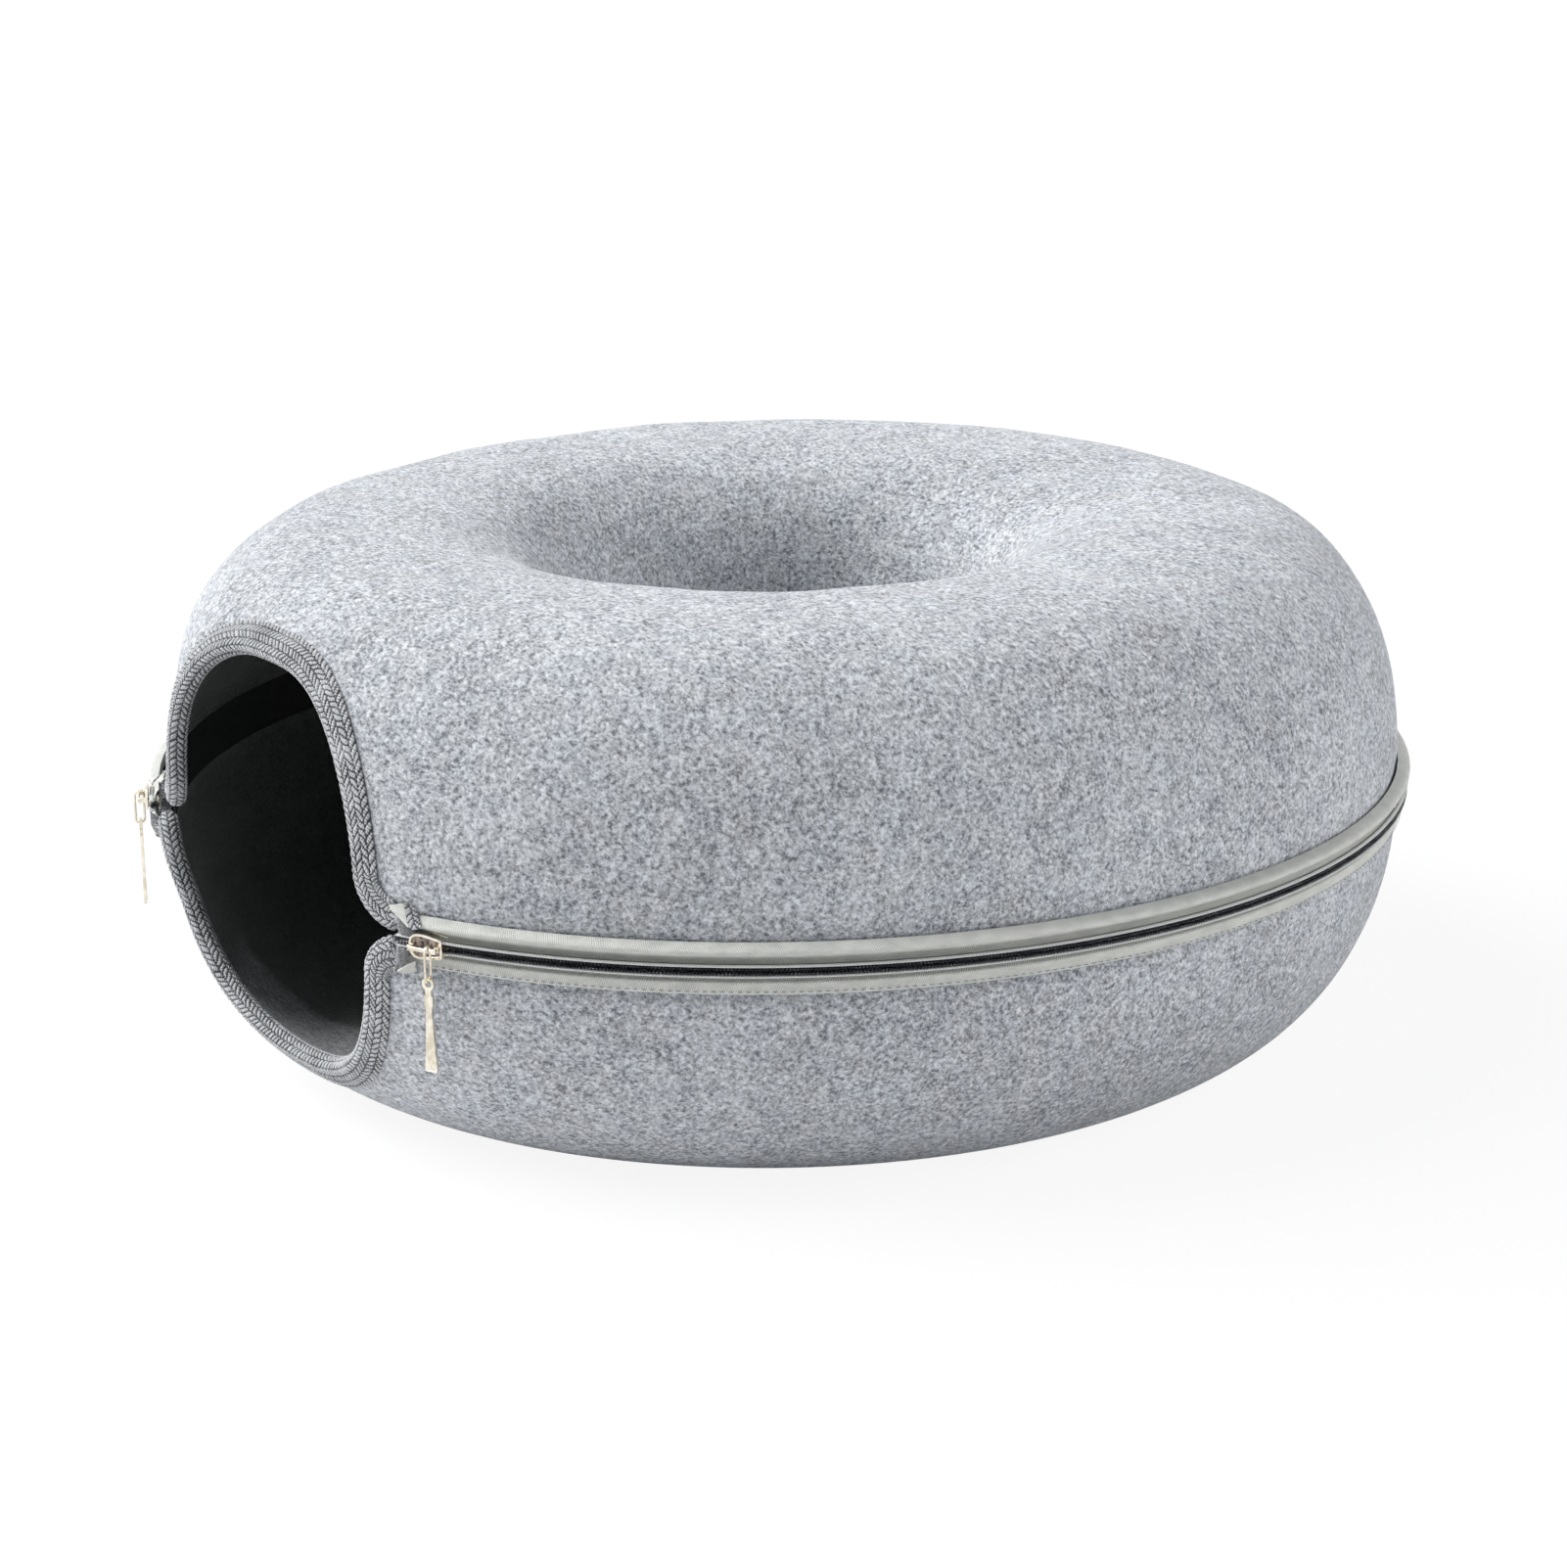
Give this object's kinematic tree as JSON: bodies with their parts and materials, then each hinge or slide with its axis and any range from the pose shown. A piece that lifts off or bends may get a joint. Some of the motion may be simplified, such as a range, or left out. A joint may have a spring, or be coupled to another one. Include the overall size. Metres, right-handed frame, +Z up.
{
  "type": "donut cat tunnel",
  "caption": "Ring-shaped felt tunnel bed for a cat: moulded upper and lower halves zipped together round the outside, with a tape-bound round entry in the outer wall and an open centre.",
  "frame": {"origin": "on the floor, in the middle of the ring's outer box", "axes": "+Z up, -Y out through the middle of the entry, +X to the right of someone who looks into the entry"},
  "size_m": [0.5022, 0.486, 0.203],
  "materials": {
    "felt": "needle-felted, mottled light grey",
    "binding_tape": "mid-grey herringbone twill",
    "zip_tape": "warm grey woven tape with a satin sheen",
    "zip_coil": "near-black nylon coil",
    "coil_thread": "light grey sewing thread",
    "stitching": "grey sewing thread",
    "facing": "black woven facing",
    "touch_fastener": "black hook and loop tape",
    "slider_metal": "polished light gold plating"
  },
  "bodies": {
    "lower_half": {"lower_binding_stitching": "stitching", "lower_coil_thread": "coil_thread", "lower_entry_binding": "binding_tape", "lower_felt_shell": "felt", "lower_hook_strip": "touch_fastener", "lower_tape_stitching": "stitching", "lower_zip_coil": "zip_coil", "lower_zip_facing": "facing", "lower_zip_tape": "zip_tape"},
    "upper_half": {"upper_binding_stitching": "stitching", "upper_coil_thread": "coil_thread", "upper_entry_binding": "binding_tape", "upper_felt_shell": "felt", "upper_loop_strip": "touch_fastener", "upper_tape_stitching": "stitching", "upper_zip_coil": "zip_coil", "upper_zip_facing": "facing", "upper_zip_tape": "zip_tape"},
    "right_slider": {"right_slider_body": "slider_metal", "right_slider_crown": "slider_metal"},
    "right_pull_ring": {"right_pull_ring": "slider_metal"},
    "right_pull_tab": {"right_pull_tab": "slider_metal"},
    "left_slider": {"left_slider_body": "slider_metal", "left_slider_crown": "slider_metal"},
    "left_pull_ring": {"left_pull_ring": "slider_metal"},
    "left_pull_tab": {"left_pull_tab": "slider_metal"}
  },
  "joints": [
    {"name": "upper_half_lift", "type": "slide", "parent": "lower_half", "child": "upper_half", "axis": [0, 0, 1], "range_m": [0, 0.15]},
    {"name": "right_slider_travel", "type": "hinge", "parent": "lower_half", "child": "right_slider", "pos_m": [0, -0.00815, 0.098], "axis": [0, 0, 1], "range_deg": [0, 150]},
    {"name": "right_pull_ring_swing", "type": "hinge", "parent": "right_slider", "child": "right_pull_ring", "pos_m": [0.11662, -0.2351, 0.098], "axis": [-0.8944, -0.4473, 0], "range_deg": [-4, 170]},
    {"name": "right_pull_tab_swing", "type": "hinge", "parent": "right_pull_ring", "child": "right_pull_tab", "pos_m": [0.11662, -0.2351, 0.08655], "axis": [0.4473, -0.8944, 0], "range_deg": [-80, 80]},
    {"name": "left_slider_travel", "type": "hinge", "parent": "lower_half", "child": "left_slider", "pos_m": [0, -0.00815, 0.098], "axis": [0, 0, 1], "range_deg": [-150, 0]},
    {"name": "left_pull_ring_swing", "type": "hinge", "parent": "left_slider", "child": "left_pull_ring", "pos_m": [-0.11662, -0.2351, 0.098], "axis": [-0.8944, 0.4473, 0], "range_deg": [-4, 170]},
    {"name": "left_pull_tab_swing", "type": "hinge", "parent": "left_pull_ring", "child": "left_pull_tab", "pos_m": [-0.11662, -0.2351, 0.08655], "axis": [-0.4473, -0.8944, 0], "range_deg": [-80, 80]}
  ]
}
